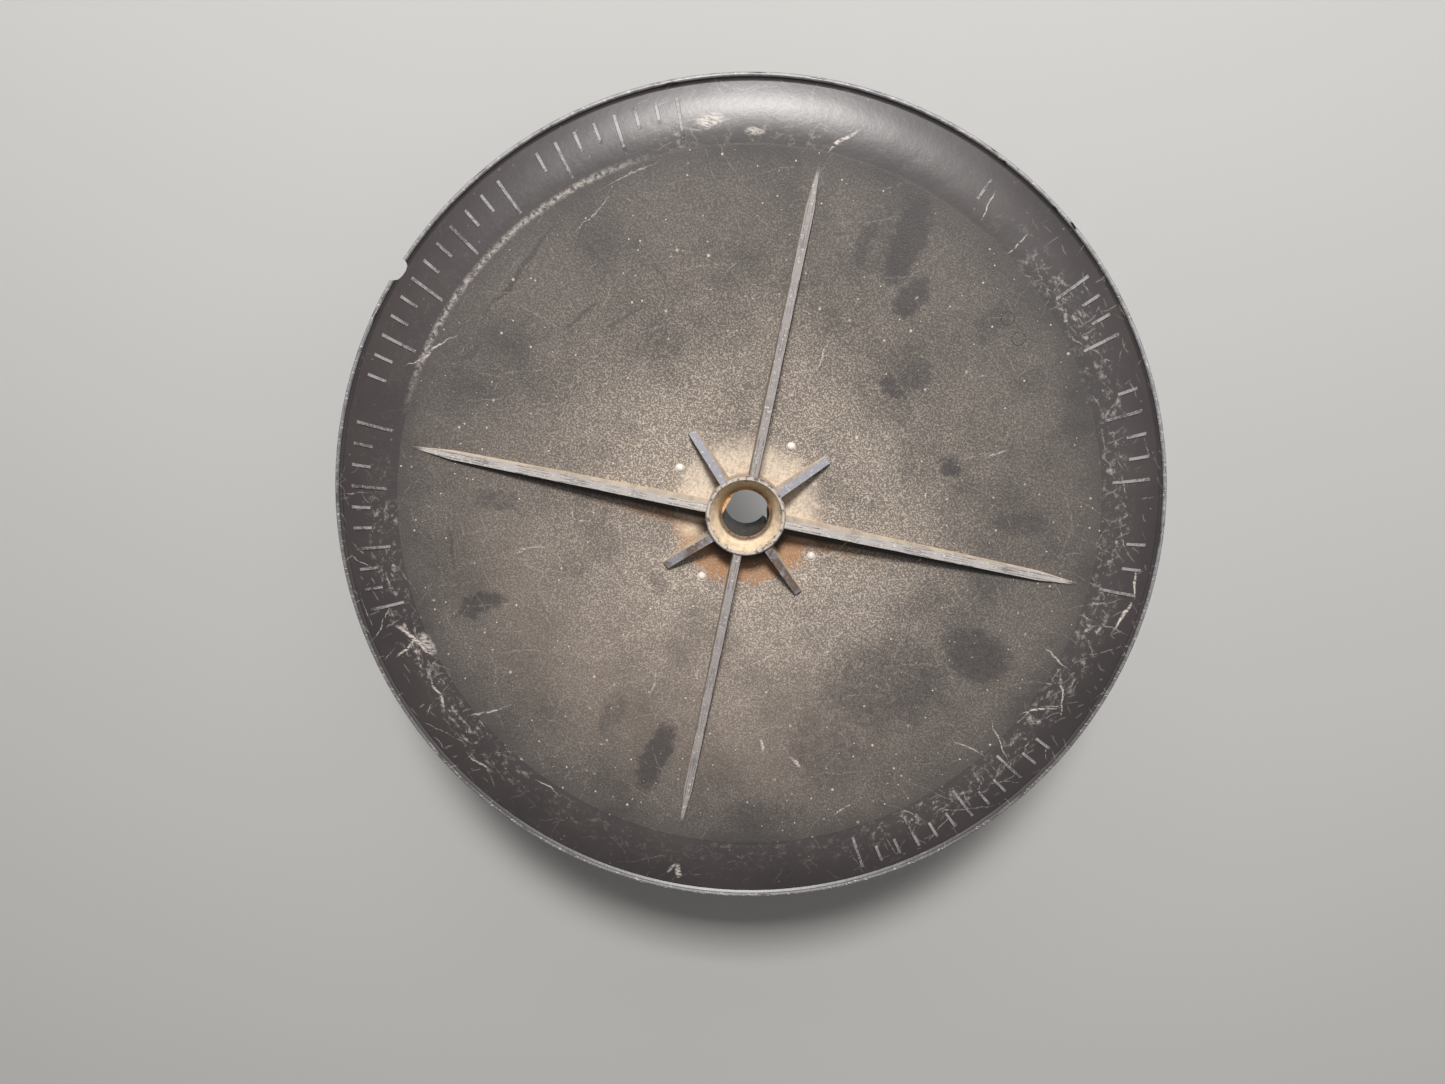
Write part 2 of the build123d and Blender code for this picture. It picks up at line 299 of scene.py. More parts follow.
# Dark smudges: azimuth in degrees, radius, half length, half width in mm, turn in degrees, strength
SMUDGES = [
    (71.5, 82.0, 16.0, 6.2, 82, 1.0),
    (64.5, 71.0, 9.0, 5.0, 60, 0.9),
    (78.5, 77.0, 10.0, 3.6, 78, 0.7),
    (52.0, 51.5, 6.0, 3.2, 150, 0.95),
    (51.0, 58.0, 8.0, 5.0, 55, 0.60),
    (24.5, 56.0, 4.6, 2.6, 138, 0.95),
    (50.0, 80.0, 9.0, 5.5, 60, 0.55),
    (37.0, 81.0, 9.0, 5.5, 40, 0.50),
    (188.0, 67.5, 10.0, 4.5, 8, 0.60),
    (210.5, 77.0, 10.0, 4.0, 32, 0.80),
    (231.5, 31.5, 5.6, 2.6, 310, 0.60),
    (261.5, 73.5, 15.0, 5.5, 260, 0.90),
    (248.0, 67.0, 11.0, 5.5, 255, 0.55),
    (320.0, 61.0, 26.0, 20.0, 20, 0.62),
    (300.0, 70.0, 20.0, 15.0, 300, 0.55),
    (340.0, 74.0, 14.0, 10.0, 340, 0.80),
    (356.5, 23.6, 5.4, 3.8, 30, 1.0),
    (10.0, 74.0, 13.0, 5.0, 5, 0.65),
    (285.0, 86.0, 22.0, 6.0, 14, 0.50),
]

# Dark straight scrapes, in the same order
SCRAPES = [
    (121.0, 66.5, 4.2, 0.9, 125, 0.60),
    (132.5, 60.8, 7.5, 0.7, 222, 0.60),
    (141.0, 67.5, 7.5, 0.7, 232, 0.70),
    (143.5, 86.5, 19.0, 0.9, 242, 0.85),
    (161.0, 84.0, 4.5, 1.0, 235, 0.55),
    (198.0, 80.5, 8.5, 0.7, 287, 0.65),
]

# Light scratches and chafed spots, in the same order
SCORES = [
    (76.0, 46.0, 5.6, 0.28, 78, 0.55),
    (82.0, 40.3, 3.7, 0.25, 205, 0.45),
    (25.3, 67.5, 3.4, 0.28, 39, 0.55),
    (163.8, 93.4, 9.5, 0.35, 222, 0.65),
    (229.2, 90.4, 6.8, 0.30, 26, 0.60),
    (253.2, 55.0, 4.3, 0.28, 269, 0.50),
    (285.8, 65.8, 2.2, 0.45, 287, 0.80),
    (292.8, 71.6, 2.8, 0.70, 313, 0.75),
    (288.0, 41.7, 5.4, 0.25, 33, 0.45),
    (201.0, 59.3, 6.2, 0.25, 30, 0.45),
    (191.9, 47.2, 2.8, 0.30, 305, 0.55),
    (194.5, 44.0, 2.2, 0.30, 20, 0.55),
    (87.4, 97.4, 5.2, 0.65, 227, 0.90),
    (106.8, 99.9, 4.6, 1.7, 201, 0.75),
    (100.5, 97.0, 3.2, 1.2, 20, 0.55),
    (212.5, 97.8, 8.6, 0.85, 329, 0.85),
    (214.0, 94.5, 4.0, 1.9, 315, 0.60),
    (213.4, 101.0, 4.6, 0.55, 227, 0.85),
    (222.0, 99.0, 6.0, 0.40, 300, 0.70),
    (271.1, 105.1, 2.9, 0.9, 96, 0.80),
    (270.1, 104.3, 2.4, 0.6, 60, 0.70),
    (356.5, 104.9, 5.6, 0.55, 70, 0.95),
    (1.5, 106.0, 4.2, 0.45, 108, 0.85),
    (345.0, 26.0, 5.0, 0.30, 40, 0.55),
    (357.0, 29.5, 5.0, 0.28, 62, 0.50),
    (338.0, 96.5, 6.0, 0.35, 20, 0.75),
    (342.0, 99.0, 7.5, 0.35, 105, 0.65),
    (330.0, 93.5, 7.0, 0.30, 300, 0.65),
    (325.0, 90.0, 6.0, 0.28, 350, 0.55),
    (347.0, 93.0, 5.5, 0.28, 150, 0.60),
    (300.0, 88.0, 4.0, 0.28, 230, 0.50),
    (312.0, 45.0, 1.1, 0.50, 30, 0.60),
    (246.0, 96.0, 5.0, 0.30, 340, 0.60),
    (235.0, 103.0, 5.5, 0.30, 330, 0.60),
    (64.0, 99.0, 4.5, 0.30, 75, 0.60),
    (57.0, 97.5, 4.5, 0.35, 62, 0.60),
    (120.0, 92.0, 9.0, 0.22, 35, 0.40),
    (128.0, 87.0, 8.0, 0.22, 60, 0.40),
]


# Fields of hair scratches: turn in radians, then length, gap and width in mm, and the share
# of cells that have one
LONG_HAIRS = [
    (0.3, 26.0, 7.0, 0.10, 0.34),
    (1.2, 19.0, 6.0, 0.08, 0.30),
    (2.2, 15.0, 5.0, 0.09, 0.30),
    (2.9, 32.0, 9.0, 0.07, 0.40),
]
SHORT_HAIRS = [(0.7, 7.0, 2.4, 0.10, 0.3), (2.4, 6.0, 2.2, 0.10, 0.3)]
BLADE_HAIRS = [(0.4, 9.0, 3.0, 0.08, 0.4), (1.7, 12.0, 4.0, 0.07, 0.4)]
# Share of a mark's reach that is at full strength, and the highest roughness of dusty plastic
CORE = 0.3
DULLEST = 0.95


def marks(graph, vector, rows):
    """The strongest of a list of marks at each point."""
    strong = 0.0
    for azimuth, radius, half_length, half_width, turn, strength in rows:
        angle, lie = math.radians(azimuth), math.radians(turn)
        centre = Vector((radius * math.cos(angle), radius * math.sin(angle), 0.0))
        along = Vector((math.cos(lie), math.sin(lie), 0.0)) / half_length
        across = Vector((-math.sin(lie), math.cos(lie), 0.0)) / half_width
        inputs = {"Vector": vector, "Along": along, "Across": across, "Core": CORE**2, "Strength": strength}
        inputs |= {"Along start": centre.dot(along), "Across start": centre.dot(across)}
        strong = graph.math("MAXIMUM", graph.group(MARK, inputs), strong)
    return strong


def around(graph, azimuth, centre, half, soft):
    """One within half degrees of an azimuth, falling to nothing over soft degrees."""
    turned = graph.math("WRAP", graph.math("SUBTRACT", azimuth, centre), 180.0, -180.0)
    return graph.step(graph.math("ABSOLUTE", turned), half + soft, half)


def scratch_field(graph, flat, rows):
    """Several layers of random scratches. Each row is turn, length, gap, width, share."""
    strong = 0.0
    for turn, length, gap, width, share in rows:
        along = (math.cos(turn) / length, math.sin(turn) / length, 0.0)
        across = (-math.sin(turn) / gap, math.cos(turn) / gap, 0.0)
        inputs = {"Vector": flat, "Along": along, "Across": across}
        inputs |= {"Gap": gap, "Width": width, "Share": share}
        strong = graph.math("MAXIMUM", graph.group(SCRATCHES, inputs), strong)
    return strong


def specks(graph, vector, cell_mm, size, share, flat=False):
    """Round specks of different sizes, in a share of the cells."""
    distance, colour = graph.voronoi(vector, 1.0 / cell_mm, flat)
    red, green, _ = graph.channels(colour)
    limit = graph.mul(graph.add(graph.mul(red, red), 0.15), size)
    kept = graph.math("LESS_THAN", green, share)
    return graph.mul(graph.step(distance, limit, graph.mul(limit, 0.5), 0.0, 1.0), kept)


# ---------------------------------------------------------------- materials


def plate_zones(g, at):
    """Which part of the back plate a point is on: dish, band, rib crest, rib side; and which way it faces."""
    at.wavy = g.vector("ADD", at.flat, g.shake(at.flat, 0.11, 3.0, 4.5))
    at.loose = g.vector("ADD", at.wavy, g.shake(at.flat, 0.42, 3.0, 5.5))
    on_dish = g.step(at.radius, CONE_EDGE_R + 0.4, CONE_EDGE_R - 0.4)
    at.cone = g.mul(on_dish, g.step(at.z, TOP_MM - 12.9, TOP_MM - 11.9))
    at.band = g.invert(at.cone)
    at.dusty = g.mul(at.cone, g.step(at.radius, 99.0, 84.0))
    surface_z = g.add(g.mul(at.radius, CONE_SLOPE), CONE_EDGE_Z - CONE_EDGE_R * CONE_SLOPE)
    at.height = g.math("SUBTRACT", at.z, surface_z)
    at.up = g.step(at.nz, 0.3, 0.75)
    at.side = g.mul(g.step(at.nz, 0.7, 0.35), at.cone)
    raised = g.step(at.height, 0.15, 0.45)
    at.raised = g.mul(raised, g.step(at.radius, CONE_EDGE_R - 1.5, CONE_EDGE_R - 3))
    at.lit_side = g.step(g.add(at.ny, g.mul(at.nx, -0.25)), -0.15, 0.5)


def plain_plastic(g, at):
    """Charcoal with slow patches, lighter and browner on the half of the dish towards -Y."""
    at.patches = g.noise(at.flat, 0.035, 4.0, 0.6)
    at.fine = g.noise(at.spot, 1.25, 3.0, 0.65)
    at.grain = g.noise(at.spot, 2.3, 2.0, 0.6)
    at.base(g.step(at.patches, 0.3, 0.7), tone(46, 43, 42), tone(60, 55, 53))
    lower = g.mul(g.step(g.mul(at.y, -1.0), -20.0, 60.0), around(g, at.azimuth, 232.0, 62.0, 40.0))
    at.paint(g.mul(lower, at.cone, g.step(at.radius, 92.0, 60.0), 0.35), tone(112, 98, 88))
    at.paint(g.mul(at.band, 0.4), tone(60, 55, 56))


def settled_dust(g, at):
    """Dust held in the grain, heavier near the hub, and the smudges that wipe it away."""
    at.near = g.step(at.radius, 92.0, 14.0)
    thickness = g.add(g.mul(g.math("POWER", at.near, 1.4), 0.8), 0.2)
    haze = g.mul(thickness, at.dusty, g.step(at.patches, 0.1, 0.6))
    lodged = g.step(at.grain, 0.45, 0.64)
    at.dust = g.mul(haze, g.add(g.mul(lodged, 0.8), 0.25))
    at.paint(g.mul(at.dust, at.up), tone(178, 164, 150))

    ragged_edge = g.math("SUBTRACT", g.noise(at.flat, 0.5, 5.0, 0.75), 0.5)
    smudge = g.step(g.add(marks(g, at.loose, SMUDGES), ragged_edge), 0.2, 0.9)
    at.smudge = g.math("MAXIMUM", smudge, marks(g, at.wavy, SCRAPES))
    at.paint(g.mul(at.smudge, at.cone, 0.72), tone(44, 40, 41))


def hub_stains_and_shade(g, at):
    """Loose pale dust and brown stain round the hub, and painted shadow: near-black below the ribs on X and
    below the hub, where their shadows fall.
    """
    at.blotch = g.noise(at.flat, 0.22, 4.0, 0.65)
    ragged = g.add(at.radius, g.mul(g.math("SUBTRACT", at.blotch, 0.5), 10.0))
    at.cream = g.mul(g.step(ragged, 22.5, 15.0), around(g, at.azimuth, 102.0, 105.0, 18.0))
    brown = g.mul(g.step(ragged, 21.5, 18.5), around(g, at.azimuth, 280.0, 78.0, 14.0))
    brown_rib = g.mul(g.window(at.y, -6.6, -2.6, 1.2), g.step(at.radius, 46.0, 16.0))
    brown = g.math("MAXIMUM", brown, g.mul(brown_rib, g.step(at.blotch, 0.25, 0.6), 0.8))
    at.paint(g.mul(brown, at.up, g.step(at.fine, 0.2, 0.6), 0.85), tone(150, 104, 62))
    flecked = g.add(g.mul(g.step(at.fine, 0.3, 0.65), 0.4), 0.4)
    at.paint(g.mul(at.cream, at.up, flecked), tone(206, 190, 170))

    # Painted shadow: a near-black strip below the ribs on X, narrowing outwards, and a wedge below the hub,
    # where their shadows fall from the light at +Y
    shadow_edge_y = g.math("MULTIPLY_ADD", at.radius, 0.034, -4.6)
    rib_shadow_paint = g.mul(g.step(at.y, -0.4, -0.9), g.step(g.math("SUBTRACT", at.y, shadow_edge_y), -0.5, 0.6))
    rib_shadow_paint = g.mul(rib_shadow_paint, g.step(at.radius, 90.0, 70.0), g.invert(g.mul(at.side, at.lit_side)))
    hub_shadow_paint = g.mul(g.step(at.radius, 15.5, 12.0), around(g, at.azimuth, 275.0, 62.0, 16.0), at.up)
    at.paint(g.mul(g.math("MAXIMUM", rib_shadow_paint, hub_shadow_paint), 0.85), tone(28, 24, 22))


def rib_wear_and_shade(g, at):
    """Worn crests with dark streaks, dusty flanks where they face the light, and painted shade on the flanks
    that face away from it.
    """
    along = g.math("MAXIMUM", g.math("ABSOLUTE", at.x), g.math("ABSOLUTE", at.y))
    across = g.math("MINIMUM", g.math("ABSOLUTE", at.x), g.math("ABSOLUTE", at.y))
    streak = g.noise(g.join(g.mul(along, 0.09), g.mul(across, 1.9), 0.0), 1.3, 4.0, 0.7)
    crest = g.mul(at.raised, at.up)
    at.paint(g.mul(crest, 0.85), tone(162, 157, 154))
    at.paint(g.mul(crest, g.step(streak, 0.52, 0.59), 0.8), tone(66, 60, 62))
    rib_on_y = g.mul(crest, g.step(g.math("ABSOLUTE", at.x), 3.0, 2.0), 0.5)
    at.paint(rib_on_y, tone(92, 86, 86))
    diagonal = g.mul(crest, g.step(across, 3.0, 5.0))
    at.paint(g.mul(diagonal, 0.85), tone(122, 122, 130))
    stained = g.mul(diagonal, g.step(at.y, 1.0, -1.0), g.step(at.blotch, 0.4, 0.56))
    at.paint(g.mul(stained, 0.85), tone(92, 72, 58))
    at.paint(g.mul(crest, g.step(at.fine, 0.58, 0.7), 0.6), tone(205, 196, 186))
    flank = g.mul(at.side, g.step(at.height, 0.0, 0.3))
    # Painted shade: rib flanks facing away from the light made near black
    at.paint(g.mul(flank, g.invert(at.lit_side), 0.6), tone(34, 30, 30))
    caked = g.step(at.blotch, 0.25, 0.65, 0.45, 0.85)
    at.paint(g.mul(flank, at.lit_side, caked), tone(196, 181, 162))
    foot = g.mul(g.step(at.height, 1.4, 0.1), at.side, g.add(g.mul(at.lit_side, 0.5), 0.08))
    at.paint(foot, tone(196, 172, 144))


def nub_wear(g, at):
    """Gate nubs, rubbed pale."""
    nubs = []
    for quarter in range(4):
        angle = math.radians(NUB_ANGLE + 90 * quarter)
        centre = (NUB_CIRCLE_R * math.cos(angle), NUB_CIRCLE_R * math.sin(angle), 0.0)
        distance = g.vector("LENGTH", g.vector("SUBTRACT", at.flat, centre))
        nubs.append(g.step(distance, 1.35, 1.05))
    nub = g.mul(strongest(g, nubs), g.step(at.nz, -0.3, 0.0))
    at.paint(g.mul(nub, g.add(g.mul(at.fine, 0.8), 0.4)), tone(214, 206, 196))


def band_chafing(g, at):
    """Pale chafing along the band and a soft line at the edge of the dish. Returns the mask."""
    at.smear = g.noise(g.join(g.mul(at.azimuth, 0.35), g.mul(at.radius, 0.32), 0.0), 1.6, 5.0, 0.72)
    mottle = g.noise(at.flat, 0.8, 5.0, 0.75)
    inner_band = g.window(at.radius, CONE_EDGE_R + 0.6, 101.5, 1.8)
    rough_ring = g.mul(inner_band, g.step(g.add(g.mul(at.smear, 0.6), g.mul(mottle, 0.4)), 0.5, 0.66))
    heavy = strongest(g, [
        around(g, at.azimuth, 214.0, 16.0, 20.0),
        g.mul(around(g, at.azimuth, 335.0, 20.0, 28.0), 0.8),
        g.mul(around(g, at.azimuth, 22.0, 22.0, 24.0), 0.75),
        g.mul(around(g, at.azimuth, 255.0, 40.0, 25.0), 0.25),
        g.mul(around(g, at.azimuth, 103.0, 9.0, 10.0), 0.5),
        0.06,
    ])
    at.heavy = g.mul(heavy, g.step(g.noise(at.flat, 0.13, 3.0, 0.6), 0.34, 0.56))
    chafe = g.mul(rough_ring, at.heavy)
    edge = g.window(at.radius, CONE_EDGE_R - 0.2, CONE_EDGE_R + 1.1, 0.7)
    line = g.mul(edge, around(g, at.azimuth, 145.0, 18.0, 14.0))
    return g.math("MAXIMUM", g.mul(chafe, at.up, 0.75), g.mul(line, g.step(mottle, 0.4, 0.6), 0.5))


def plate_scratches(g, at, pale):
    """Chafing, the large scratches by name, and a random field that is thick on the band."""
    at.fibres = g.noise(g.join(g.mul(at.x, 0.55), g.mul(at.y, 1.7), 0.0), 1.1, 4.0, 0.75)
    score = g.mul(marks(g, at.wavy, SCORES), g.step(at.fibres, 0.4, 0.55))
    long_field = scratch_field(g, at.wavy, LONG_HAIRS)
    thin = g.mul(long_field, g.step(g.noise(at.flat, 0.8, 3.0, 0.7), 0.4, 0.58))
    spread = g.add(g.mul(at.band, at.heavy, 0.5), g.mul(at.cone, g.add(g.mul(at.near, 0.1), 0.12)))
    short = g.mul(scratch_field(g, at.wavy, SHORT_HAIRS), at.band, at.heavy, 0.22)
    cut = strongest(g, [score, g.mul(thin, spread), short])
    at.worn = g.math("MAXIMUM", pale, g.mul(cut, at.up))
    at.paint(at.worn, tone(196, 186, 178))


def dust_specks(g, at):
    """Small loose specks and fewer larger ones, most of them on the dish."""
    small = specks(g, at.flat, 2.9, 0.10, 0.36, flat=True)
    shifted = g.vector("ADD", at.flat, (31.0, 17.0, 0.0))
    large = g.mul(specks(g, shifted, 8.0, 0.06, 0.45, flat=True), 0.9)
    dots = strongest(g, [small, large])
    dots = g.mul(dots, g.add(g.mul(at.cone, 0.5), 0.15), g.step(at.blotch, 0.3, 0.6), at.up)
    at.paint(dots, tone(214, 202, 186))


def rim_wear_and_painted_light(g, at):
    """Lip rubbed grey along its crest, with a painted highlight making it greyer towards +Y where the light
    is, and white nicks; painted shade on the lip's inner wall.
    """
    crest = g.window(at.radius, RADIUS_MM - 1.0, RADIUS_MM - 0.1, 0.15)
    crest = g.mul(crest, g.step(at.z, LIP_TOP_Z - 0.8, LIP_TOP_Z - 0.2), at.up)
    # Rubbed grey all round, strengthened towards +Y as a painted highlight from the light there
    share = g.add(g.mul(g.step(at.y, -60.0, 90.0), 0.55), 0.3)
    at.paint(g.mul(crest, g.step(at.smear, 0.2, 0.6), share), tone(150, 149, 152))
    at.paint(g.mul(crest, g.step(at.fibres, 0.56, 0.66), 0.9), tone(205, 201, 199))
    # Painted shade: the steep inner wall of the lip darkened
    lip_inner_shade = g.window(at.radius, RADIUS_MM - 1.5, RADIUS_MM - 1.0, 0.2)
    at.paint(g.mul(lip_inner_shade, g.step(at.nz, 0.8, 0.4), 0.7), tone(44, 40, 40))


def hidden_faces(g, at):
    """Outer skirt and underside: plain black with scuffs and settled dust."""
    below = g.step(at.z, TOP_MM - 3.0, TOP_MM - 3.9)
    outer = g.mul(g.step(at.radius, RADIUS_MM - 0.4, RADIUS_MM - 0.15), below)
    scuffs = g.noise(g.join(g.mul(at.azimuth, 0.2), g.mul(at.z, 0.5), 0.0), 1.5, 4.0, 0.7)
    at.paint(g.mul(outer, g.step(scuffs, 0.52, 0.7), 0.5), tone(140, 130, 122))
    underneath = g.step(at.nz, -0.2, -0.6)
    under_dust = g.add(g.mul(g.step(at.blotch, 0.35, 0.7), 0.35), 0.1)
    at.paint(g.mul(underneath, 0.8), tone(52, 48, 46))
    at.paint(g.mul(underneath, under_dust, 0.7), tone(110, 100, 88))


def plate_material():
    """Back plate: matte charcoal plastic, dusty towards the hub, chafed on the band and the rim; with painted
    shade below the ribs, below the hub and inside the lip, and a painted highlight along the lip towards +Y.
    """
    material, g = new_material("plate_plastic_worn_and_shaded")
    at = Surface(g)
    at.face()
    plate_zones(g, at)
    plain_plastic(g, at)
    settled_dust(g, at)
    hub_stains_and_shade(g, at)
    rib_wear_and_shade(g, at)
    nub_wear(g, at)
    plate_scratches(g, at, band_chafing(g, at))
    dust_specks(g, at)
    rim_wear_and_painted_light(g, at)
    hidden_faces(g, at)

    # The band and the smudges shine a little, dust doesn't
    gloss = g.add(g.mul(at.cone, 0.56), g.mul(at.band, 0.36), g.mul(at.fine, 0.06))
    loose_dust = (g.mul(at.dust, 0.25), g.mul(at.cream, 0.2))
    gloss = g.add(gloss, g.mul(at.smudge, -0.1), g.mul(at.worn, 0.2), *loose_dust)
    gloss = g.math("MINIMUM", gloss, DULLEST)
    relief = g.add(g.mul(at.grain, at.cone, at.up, 0.05), g.mul(at.fine, 0.025), g.mul(at.patches, 0.25))
    finish_material(g, at.colour, gloss, relief, 1.0, specular=0.5)
    return material


def hub_material():
    """Hub sleeve: dusty funnel with a rubbed lip outside, dark bore, black sleeve below the plate."""
    material, g = new_material("hub_plastic_worn")
    at = Surface(g)
    at.face()
    fine = g.noise(at.spot, 1.6, 4.0, 0.65)
    blotch = g.noise(at.spot, 0.5, 4.0, 0.7)
    chips = g.noise(g.vector("ADD", at.spot, (5.0, 9.0, 3.0)), 0.75, 5.0, 0.75)
    at.base(fine, tone(48, 45, 44), tone(68, 63, 60))

    # Cream dust in the funnel and on the mouth, tan on the far wall of the bore
    above_foot = g.step(at.z, FUNNEL_FOOT_Z - 0.5, FUNNEL_FOOT_Z + 0.7)
    slope = g.mul(above_foot, g.step(at.radius, HUB_R - 0.4, HUB_R - 0.8))
    slope = g.mul(slope, g.step(at.nz, 0.15, 0.4))
    rim = g.mul(g.step(at.z, TOP_MM - 0.5, TOP_MM - 0.2), g.step(at.nz, 0.6, 0.9))
    funnel = g.math("MAXIMUM", slope, rim)
    thick = g.add(g.mul(g.step(blotch, 0.3, 0.62), 0.35), 0.62)
    at.paint(g.mul(funnel, thick), tone(212, 190, 160))
    at.paint(g.mul(funnel, g.step(fine, 0.55, 0.75), 0.5), tone(232, 216, 194))
    far_wall = around(g, at.azimuth, 102.0, 70.0, 25.0)
    tan = g.mul(g.step(at.z, FUNNEL_FOOT_Z - 5.0, FUNNEL_FOOT_Z), far_wall)
    tan = g.mul(tan, g.step(at.radius, 8.6, 7.6), g.step(blotch, 0.35, 0.55))
    at.paint(g.mul(tan, 0.75), tone(176, 132, 88))

    # Lip rubbed grey, with dark chips
    lip = g.mul(g.step(at.z, TOP_MM - 0.6, TOP_MM - 0.25), g.step(at.radius, 9.3, 9.8))
    at.paint(g.mul(lip, 0.7), tone(160, 154, 150))
    chipped = g.mul(g.step(at.z, TOP_MM - 1.6, TOP_MM - 0.4), g.step(chips, 0.555, 0.6))
    at.paint(g.mul(chipped, 0.85), tone(70, 64, 70))

    # Outside of the mouth, the ledge at the foot of the funnel, and dust low on the sleeve
    outside = g.step(at.radius, HUB_R - 0.25, HUB_R - 0.1)
    outside = g.mul(outside, g.step(at.z, TOP_MM - 10.9, TOP_MM - 8.9))
    outside = g.mul(outside, g.step(at.z, TOP_MM - 0.5, TOP_MM - 1.3))
    at.paint(g.mul(outside, 0.7), tone(186, 160, 130))
    ledge = g.step(at.z, FUNNEL_FOOT_Z, FUNNEL_FOOT_Z - 0.8)
    ledge = g.mul(ledge, g.step(at.z, FUNNEL_FOOT_Z - 1.9, FUNNEL_FOOT_Z - 1.3), g.step(at.nz, 0.5, 0.8))
    at.paint(g.mul(ledge, g.step(fine, 0.35, 0.55)), tone(206, 160, 112))
    low_dust = g.mul(g.step(at.z, TOP_MM - 8.9, TOP_MM - 12.9), g.step(blotch, 0.48, 0.68), 0.45)
    at.paint(low_dust, tone(128, 114, 98))
    gloss = g.add(g.mul(funnel, 0.35), g.mul(fine, 0.1), 0.45)
    relief = g.add(g.mul(fine, 0.05), g.mul(funnel, blotch, 0.16), g.mul(chipped, -0.12))
    finish_material(g, at.colour, g.math("MINIMUM", gloss, DULLEST), relief, 1.0, specular=0.45)
    return material


def blade_material(name, dusty):
    """Blades and inlet ring: satin black plastic, with lint-grey dust that gathers at the inner edges."""
    material, g = new_material(name)
    at = Surface(g)
    at.face()
    fine = g.noise(at.spot, 1.4, 3.0, 0.6)
    patches = g.noise(at.spot, 0.07, 4.0, 0.6)
    wisps = g.noise(g.vector("MULTIPLY", at.spot, (1.0, 1.0, 0.25)), 0.45, 5.0, 0.72)
    at.base(patches, tone(42, 39, 38), tone(62, 58, 55))
    inner = g.step(at.radius, 101.0, 95.0)
    caked = g.mul(g.add(g.mul(inner, 0.4), 0.2), g.step(wisps, 0.4, 0.72), dusty)
    at.paint(caked, tone(150, 134, 116))
    fluff = g.mul(specks(g, at.spot, 3.2, 0.3, 0.35), g.add(g.mul(inner, 0.5), 0.25), dusty)
    at.paint(fluff, tone(186, 172, 152))
    foot = g.mul(g.step(at.z, 6.5, 2.2), g.step(wisps, 0.3, 0.7), 0.35)
    at.paint(g.mul(foot, dusty), tone(140, 122, 100))
    rubbed = g.mul(g.step(at.radius, RADIUS_MM - 0.7, RADIUS_MM - 0.1), g.step(wisps, 0.5, 0.68), 0.6)
    at.paint(rubbed, tone(150, 142, 136))
    unrolled = g.join(g.mul(at.azimuth, 1.9), at.z, 0.0)
    hairs = scratch_field(g, unrolled, BLADE_HAIRS)
    cut = g.mul(hairs, g.step(g.math("ABSOLUTE", at.nz), 0.6, 0.3), 0.3)
    at.paint(cut, tone(170, 162, 154))
    flow = g.noise(g.join(g.mul(at.azimuth, 1.0), g.mul(at.z, 0.05), at.radius), 0.9, 2.0, 0.5)
    gloss = g.add(g.mul(caked, 0.35), g.mul(fine, 0.1), g.mul(patches, 0.08), 0.34)
    relief = g.add(g.mul(fine, 0.03), g.mul(caked, 0.1), g.mul(cut, -0.05), g.mul(flow, 0.05))
    finish_material(g, at.colour, gloss, relief, 1.0)
    return material


def steel_material(name, light, dark, stained):
    """Zinc-plated steel: brushed, dulled in patches, with rust starting where it is stained."""
    material, g = new_material(name)
    at = Surface(g)
    brushed = g.noise(g.vector("MULTIPLY", at.spot, (0.5, 0.5, 9.0)), 1.3, 4.0, 0.6)
    patches = g.noise(at.spot, 0.35, 4.0, 0.65)
    fine = g.noise(at.spot, 3.0, 3.0, 0.6)
    at.base(g.step(g.add(g.mul(brushed, 0.5), g.mul(patches, 0.5)), 0.35, 0.65), dark, light)
    rust = g.mul(g.step(g.add(g.mul(patches, 0.7), g.mul(fine, 0.3)), 0.54, 0.64), stained)
    at.paint(rust, tone(128, 78, 46))
    shine = g.invert(g.mul(rust, 0.85))
    gloss = g.add(g.mul(brushed, 0.16), g.mul(rust, 0.4), g.mul(patches, 0.1), 0.2)
    relief = g.add(g.mul(brushed, 0.02), g.mul(rust, 0.06), g.mul(fine, 0.01))
    finish_material(g, at.colour, gloss, relief, 1.0, metallic=shine)
    return material


def bar_material():
    """Raised graduation: dark flanks under tops rubbed to a patchy grey."""
    material, g = new_material("graduation_rubbed")
    at = Surface(g)
    at.face()
    fine = g.noise(at.spot, 1.9, 4.0, 0.7)
    patches = g.noise(at.flat, 0.12, 3.0, 0.6)
    at.base(patches, tone(58, 53, 54), tone(72, 67, 66))
    top = g.step(at.nz, 0.75, 0.93)
    uneven = g.step(g.add(g.mul(fine, 0.5), g.mul(patches, 0.5)), 0.38, 0.55)
    at.paint(g.mul(top, uneven, 0.8), tone(142, 139, 140))
    finish_material(g, at.colour, g.add(g.mul(fine, 0.15), 0.4), g.mul(fine, 0.04), 1.0)
    return material


def floor_material():
    """Pale matte studio floor."""
    material, g = new_material("studio_floor")
    position = g.node("ShaderNodeTexCoord").outputs["Object"]
    soft = g.noise(position, 3.0, 3.0, 0.5)
    colour = g.mix(soft, tone(160, 159, 157), tone(166, 165, 163))
    finish_material(g, colour, 0.75, g.noise(position, 300.0, 2.0), 0.02, specular=0.2)
    return material


PLATE = plate_material()
HUB = hub_material()
BARS = bar_material()
BLADE = blade_material("blade_plastic_dusty", 0.9)
RING = blade_material("ring_plastic_dusty", 0.7)
CLAMP = steel_material("clamp_steel_dull", tone(176, 174, 168), tone(112, 110, 106), 0.8)
SCREW = steel_material("screw_steel_zinc", tone(196, 190, 172), tone(132, 126, 112), 0.45)


